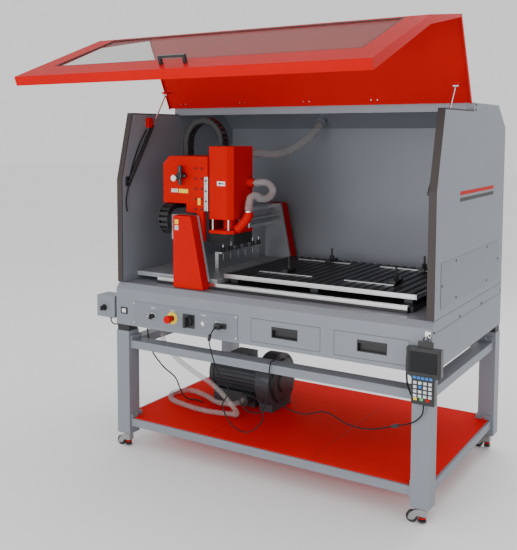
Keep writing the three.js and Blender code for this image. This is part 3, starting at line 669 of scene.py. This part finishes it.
line, length = smooth_line([(-1612, 200, 1640), (-1622, 150, 1560), (-1624, 90, 1440), (-1624, 60, 1340),
                            (-1624, 44, 1270), (-1624, 52, 1225)], 60)
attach(sweep("lid_switch_cable", line, lambda k: 3.5, cable_black, 10), "machine")

# ---------------------------------------------------------------- bed, rails and table
kit = Kit("rail_steel", steel, "machine", 0.0008)
caps = Kit("rail_caps", green, "machine", 0.0002)
under = Kit("rail_base", black, "machine", 0.0008)
for y in (103, 937):
    kit.box(-1472, -145, y - 0.6, y + 20.6, 877, 894.8)
    under.box(-1474, -143, y - 3, y + 23, 867.5, 876.8)
    x = -1440
    while x < -160:
        caps.rod((x, y + 10, 894.8), (x, y + 10, 895.4), 4.5, 14)
        x += 60
for one in (kit, caps, under):
    one.done()
kit = Kit("table_edge", aluminium, "machine", 0.001)
kit.box(-1122, -140, 184, 189.6, 909, 931.5)
kit.box(-139.6, -134, 184, 880, 909, 931.5)
kit.box(-1122, -140, 880.4, 886, 909, 931.5)
kit.done()
kit = Kit("table_ribs", dark, "machine", 0.0006)
x = -1109
while x < -150:
    kit.box(x, x + 30, 196, 874, 931.3, 934)
    x += 46
kit.done()
kit = Kit("table_strips", aluminium, "machine", 0.0006)
for x0, x1, y in ((-996, -701, 320), (-534, -288, 320), (-1014, -706, 773), (-539, -273, 773)):
    kit.box(x0, x1, y - 7, y + 7, 934.2, 939)
kit.done()
clamp_places = ((-862, 380), (-820, 780), (-303, 380), (-307, 775))
kit = Kit("table_clamps", satin_black, "machine", 0.0015)
stud = Kit("clamp_studs", dark, "machine", 0.0005)
for x, y in clamp_places:
    kit.box(x - 16, x + 16, y - 48, y + 48, 939.2, 954)
    kit.box(x - 12, x + 12, y + 30, y + 46, 934.2, 940)
    kit.rod((x, y, 954), (x, y, 972), 12, 6)
    stud.rod((x, y, 934.2), (x, y, 1010), 5, 16)
kit.done()
stud.done()
kit = Kit("bed_lines", dark, "machine", 0)
for y in (330, 530, 730):
    kit.box(-1620, -1130, y, y + 3, 908.1, 908.5)
kit.done()

# tool rack
kit = Kit("tool_rack", aluminium, "machine", 0.001)
kit.box(-1318, -1296, 400, 820, 908.3, 990)
kit.box(-1318, -1272, 400, 820, 990.2, 998)
kit.done()
kit = Kit("rack_holders", dark, "machine", 0.0008)
tips = Kit("rack_tools", steel, "machine", 0.0003)
for y in (430, 505, 580, 655, 730, 795):
    kit.rod((-1286, y, 998.2), (-1286, y, 1022), 13, 24, 10)
    tips.rod((-1286, y, 1022), (-1286, y, 1040), 7, 16)
    tips.rod((-1286, y, 989.8), (-1286, y, 950), 3, 12)
kit.done()
tips.done()

# ---------------------------------------------------------------- gantry details
kit = Kit("gantry_bumpers", yellow, "gantry", 0.002)
kit.rod((-1276, 921, 1203), (-1276, 937, 1203), 9, 20)
kit.done()
kit = Kit("beam_rails", steel, "gantry", 0.0006)
for z in (1098, 1193):
    kit.box(-1284, -1267.4, 124, 936, z - 0.4, z + 20.4)
kit.done()
kit = Kit("tower_labels", yellow, "gantry", 0)
kit.box(-1318, -1296, 44.3, 44.9, 1180, 1202)
kit.done()
kit = Kit("tower_label_plain", label_grey, "gantry", 0)
kit.box(-1318, -1296, 44.3, 44.9, 1150, 1174)
kit.done()
kit = Kit("carriage_labels", yellow, "carriage", 0)
kit.box(-1352, -1296, 127.2, 127.8, 1326, 1346)
kit.box(-1238, -1222, 127.2, 127.8, 1270, 1304)
kit.done()
kit = Kit("carriage_label_plain", label_grey, "carriage", 0)
kit.box(-1400, -1358, 127.2, 127.8, 1328, 1346)
kit.done()
kit = Kit("carriage_screws", black, "carriage", 0.0004)
for x in (-1214, -1250):
    for z in (1250, 1300, 1350, 1400, 1450):
        kit.rod((x, 128, z), (x, 124, z), 5, 16)
for z in (1240, 1290, 1340, 1390):
    kit.rod((-1192, 131, z), (-1192, 127, z), 4, 12)
kit.done()
kit = Kit("z_plate", aluminium, "carriage", 0.0008)
kit.box(-1204.6, -1181, 132, 320, 1240, 1410)
kit.done()
kit = Kit("z_rail", dark, "carriage", 0.0006)
kit.box(-1204.6, -1188, 150, 170, 1092, 1239)
kit.box(-1204.6, -1188, 290, 310, 1092, 1239)
kit.done()
kit = Kit("regulator_body", satin_black, "carriage", 0.003)
kit.rod((-1322, 96, 1425), (-1322, 96, 1464), 12, 28)
kit.box(-1338, -1306, 82, 127.6, 1402, 1426)
kit.rod((-1322, 96, 1402), (-1322, 96, 1368), 9, 28)
kit.box(-1306, -1290, 92, 102, 1408, 1420)
kit.done()
kit = Kit("regulator_gauge", white, "carriage", 0.001)
kit.rod((-1344, 82, 1402), (-1344, 68, 1402), 14, 32)
kit.done()
kit = Kit("gauge_ring", steel, "carriage", 0.0006)
kit.rod((-1344, 92, 1402), (-1344, 70, 1402), 16, 32)
kit.done()
kit = Kit("arrow_label", white, "head", 0)
kit.box(-1130, -1084, 137.2, 137.8, 1368, 1390)
kit.done()
kit = Kit("arrow_mark", black, "head", 0)
kit.box(-1116, -1092, 136.6, 137.1, 1376.5, 1381.5)
kit.prism([(-1123, 1379), (-1114, 1372.5), (-1114, 1385.5)], "y", 136.6, 137.1)
kit.done()

# dust shoe: red plate and elbow, black brush, bright guide rods
shoe = Kit("shoe_plate", red, "head", 0.0015)
shoe.prism([(-1178, 137), (-1074, 137), (-1049, 162), (-1049, 339), (-1178, 339)], "z", 1133.6, 1150.6)
plate = shoe.done()
line, length = smooth_line([(-1056, 196, 1150), (-1034, 204, 1172), (-1004, 214, 1212), (-998, 216, 1228),
                            (-998, 216, 1240)], 30)
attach(sweep("shoe_elbow", line, lambda k: 22.6, red, 28), "head")
kit = Kit("shoe_rods", steel, "head", 0.0005)
for x, y in ((-1165, 152), (-1076, 156), (-1165, 324), (-1062, 324)):
    kit.rod((x, y, 1150.6), (x, y, 1202.6), 5.4, 20)
kit.done()
kit = Kit("shoe_brush", bristle, "head", 0)
corners = [(-1174, 141), (-1076, 141), (-1053, 164), (-1053, 335), (-1174, 335)]
for k, (x0, y0) in enumerate(corners):
    x1, y1 = corners[(k + 1) % len(corners)]
    span = math.hypot(x1 - x0, y1 - y0)
    count = int(span / 4.2)
    for j in range(count):
        t = j / count
        wobble = 1.6 * math.sin(12.9 * j + 3.1 * k)
        px, py = x0 + (x1 - x0) * t, y0 + (y1 - y0) * t
        kit.rod((px, py, 1133.4), (px + wobble * 0.7, py - wobble * 0.7, 1076 + abs(wobble)), 2.6, 6, 1.4)
kit.done()
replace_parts(plate, "dust_shoe")
kit = Kit("hose_clamps", steel, "head", 0.0004)
kit.rod((-1016, 300, 1378), (-1008, 300, 1378), 21, 28)
kit.rod((-998, 216, 1240), (-998, 216, 1248), 21, 28)
kit.done()

# ---------------------------------------------------------------- vacuum pump
cy, cz = 560, SHELF_TOP + 0.4 + 148
kit = Kit("pump_fins", pump_grey, "machine", 0.0006)
for k in range(28):
    turn = 2 * math.pi * k / 28
    y, z = cy + 92 * math.cos(turn), cz + 92 * math.sin(turn)
    if z > SHELF_TOP + 90:
        kit.box(-1360, -1100, y - 2, y + 2, z - 9, z + 9, Matrix.Rotation(turn - math.pi / 2, 3, "X"))
kit.done()
kit = Kit("pump_cover", dark, "machine", 0.003)
kit.rod((-999.6, cy, cz), (-988, cy, cz), 120, 48, 112)
kit.rod((-988, cy, cz), (-980, cy, cz), 60, 40, 54)
for k in range(8):
    turn = 2 * math.pi * k / 8 + 0.2
    kit.rod((-999.6, cy + 134 * math.cos(turn), cz + 134 * math.sin(turn)),
            (-992, cy + 134 * math.cos(turn), cz + 134 * math.sin(turn)), 6, 6)
kit.done()

# ---------------------------------------------------------------- casters
casters = (("front_left", -1618, 40), ("front_right", -40, 40),
           ("rear_left", -1618, 1018), ("rear_right", -40, 1018))
for corner, x, y in casters:
    kit = Kit("caster_hub_" + corner, steel, "caster_wheel_" + corner, 0.0005)
    kit.rod((x - 44, y - 11.4, 25), (x - 44, y + 11.4, 25), 9, 24)
    kit.done()
    kit = Kit("caster_window_" + corner, red, "caster_foot_" + corner, 0.001)
    kit.rod((x, y, 24.4), (x, y, 30.6), 16, 20)
    kit.done()

# ---------------------------------------------------------------- floor and light
floor_mesh = bpy.data.meshes.new("floor")
REACH = 30
floor_mesh.from_pydata([(-REACH, -REACH, 0), (REACH, -REACH, 0), (REACH, REACH, 0), (-REACH, REACH, 0)], [],
                       [(0, 1, 2, 3)])
floor = bpy.data.objects.new("floor", floor_mesh)
scene.collection.objects.link(floor)
floor_mesh.materials.append(surface("floor_pale", (0.95, 0.95, 0.95), 0.8, 0.0, 40, 0.02, vary=0.01))

world = bpy.data.worlds.new("studio")
world.use_nodes = True
world.node_tree.nodes["Background"].inputs["Color"].default_value = (1, 1, 1, 1)
world.node_tree.nodes["Background"].inputs["Strength"].default_value = 1.0
scene.world = world
lamps = (("key", (-900, -4600, 1900), 120, 2.4), ("fill", (3400, -2400, 2600), 25, 2.4),
         ("back", (0, 3600, 3600), 60, 2.5))
for name, place, energy, wide in lamps:
    lamp = bpy.data.lights.new(name, "AREA")
    lamp.energy, lamp.size = energy, wide
    o = bpy.data.objects.new(name, lamp)
    scene.collection.objects.link(o)
    o.location = at(*place)
    o.rotation_euler = (at(-830, 500, 1000) - o.location).to_track_quat("-Z", "Y").to_euler()
